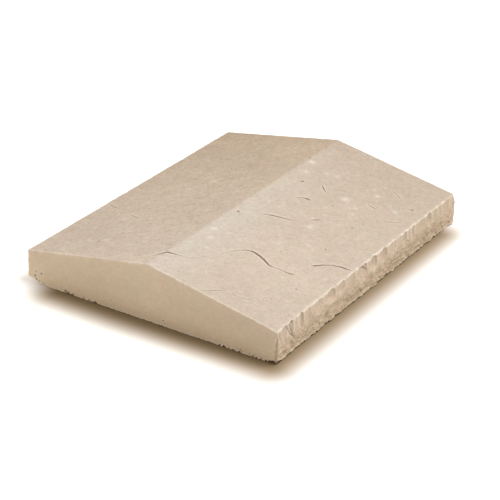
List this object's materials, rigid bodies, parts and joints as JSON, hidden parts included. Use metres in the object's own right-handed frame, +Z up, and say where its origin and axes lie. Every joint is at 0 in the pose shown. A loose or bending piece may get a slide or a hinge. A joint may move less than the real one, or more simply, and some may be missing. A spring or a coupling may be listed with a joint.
{
  "type": "stone wall cap",
  "caption": "Saddleback cap stone for a wall: two sloping top faces shed water from a central ridge, with smooth gable ends, chiselled long sides and a flat bed.",
  "frame": {"origin": "middle of the flat bed, under the middle of the ridge", "axes": "+X along the ridge and the wall, +Y across the wall to the left when looking along +X, +Z up"},
  "size_m": [0.508, 0.4098, 0.085],
  "materials": {
    "cast_stone": "matte warm beige cast stone, lightly mottled, with riven slopes and chiselled sides"
  },
  "bodies": {
    "root": {"wall_cap": "cast_stone"}
  },
  "joints": []
}
